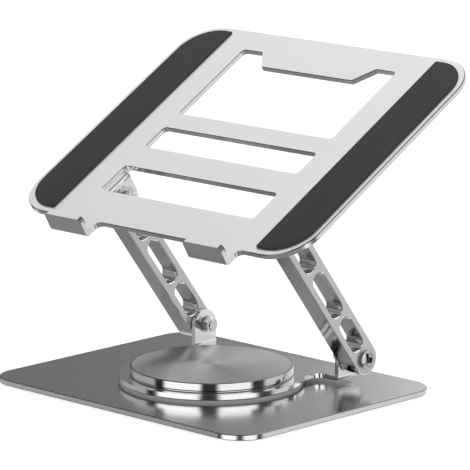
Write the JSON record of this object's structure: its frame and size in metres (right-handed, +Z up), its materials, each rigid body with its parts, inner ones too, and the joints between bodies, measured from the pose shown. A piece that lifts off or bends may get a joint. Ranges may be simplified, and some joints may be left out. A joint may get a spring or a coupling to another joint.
{
  "type": "laptop stand",
  "caption": "Folding desk stand for a notebook computer: windowed tray with two front lips and grip pads, on two slotted friction-hinged arms over a turntable and flat base.",
  "frame": {"origin": "on the table, under the turntable's axis", "axes": "+X to the user's right, across the stand; +Y to the back; +Z up"},
  "size_m": [0.272, 0.2272, 0.2295],
  "materials": {
    "base_metal": "satin",
    "tray_metal": "satin",
    "arm_metal": "satin",
    "bracket_metal": "satin",
    "cover_metal": "spun, circular brushed",
    "pad_rubber": "matte",
    "mat_rubber": "matte",
    "fastener_steel": "polished",
    "spring_steel": "satin",
    "bush_brass": "satin",
    "glide_plastic": "satin",
    "friction_plastic": "matte"
  },
  "bodies": {
    "base": {"base_plate": "base_metal", "base_mat": "mat_rubber", "glide_ring": "glide_plastic", "pivot_stud": "fastener_steel", "thrust_washer": "friction_plastic", "stud_spring": "spring_steel", "stud_nut": "fastener_steel"},
    "turntable": {"turntable_bracket": "bracket_metal", "turntable_cover": "cover_metal", "cover_screws": "fastener_steel", "pivot_bush": "bush_brass", "left_lower_bolt": "fastener_steel", "right_lower_bolt": "fastener_steel", "left_lower_nut": "fastener_steel", "right_lower_nut": "fastener_steel", "left_lower_washer": "fastener_steel", "right_lower_washer": "fastener_steel", "left_lower_springs": "spring_steel", "right_lower_springs": "spring_steel"},
    "arms": {"left_arm": "arm_metal", "right_arm": "arm_metal", "left_lower_bush": "bush_brass", "right_lower_bush": "bush_brass", "left_upper_bush": "bush_brass", "right_upper_bush": "bush_brass", "left_lower_friction_washer": "friction_plastic", "right_lower_friction_washer": "friction_plastic"},
    "hinge_pins": {"left_upper_bolt": "fastener_steel", "right_upper_bolt": "fastener_steel", "left_upper_nut": "fastener_steel", "right_upper_nut": "fastener_steel", "left_upper_washer": "fastener_steel", "right_upper_washer": "fastener_steel", "left_upper_springs": "spring_steel", "right_upper_springs": "spring_steel"},
    "tray": {"tray_plate": "tray_metal", "left_tray_pad": "pad_rubber", "right_tray_pad": "pad_rubber", "left_tray_bracket": "bracket_metal", "right_tray_bracket": "bracket_metal", "left_bracket_screws": "fastener_steel", "right_bracket_screws": "fastener_steel", "left_upper_friction_washer": "friction_plastic", "right_upper_friction_washer": "friction_plastic"}
  },
  "joints": [
    {"name": "turntable_spin", "type": "hinge", "parent": "base", "child": "turntable", "pos_m": [0, 0, 0.0052], "axis": [0, 0, 1], "continuous": true},
    {"name": "arm_fold", "type": "hinge", "parent": "turntable", "child": "arms", "pos_m": [0, 0.06335, 0.0244], "axis": [1, 0, 0], "range_deg": [-37.3, 48.7]},
    {"name": "pin_turn", "type": "hinge", "parent": "arms", "child": "hinge_pins", "pos_m": [0, -0.01543, 0.12781], "axis": [1, 0, 0], "range_deg": [-48.7, 37.3]},
    {"name": "tray_tilt", "type": "hinge", "parent": "hinge_pins", "child": "tray", "pos_m": [0, -0.01543, 0.12781], "axis": [-1, 0, 0], "range_deg": [-10, 30]}
  ],
  "couplings": [
    {"joint": "pin_turn", "follows": "arm_fold", "ratio": -1}
  ]
}
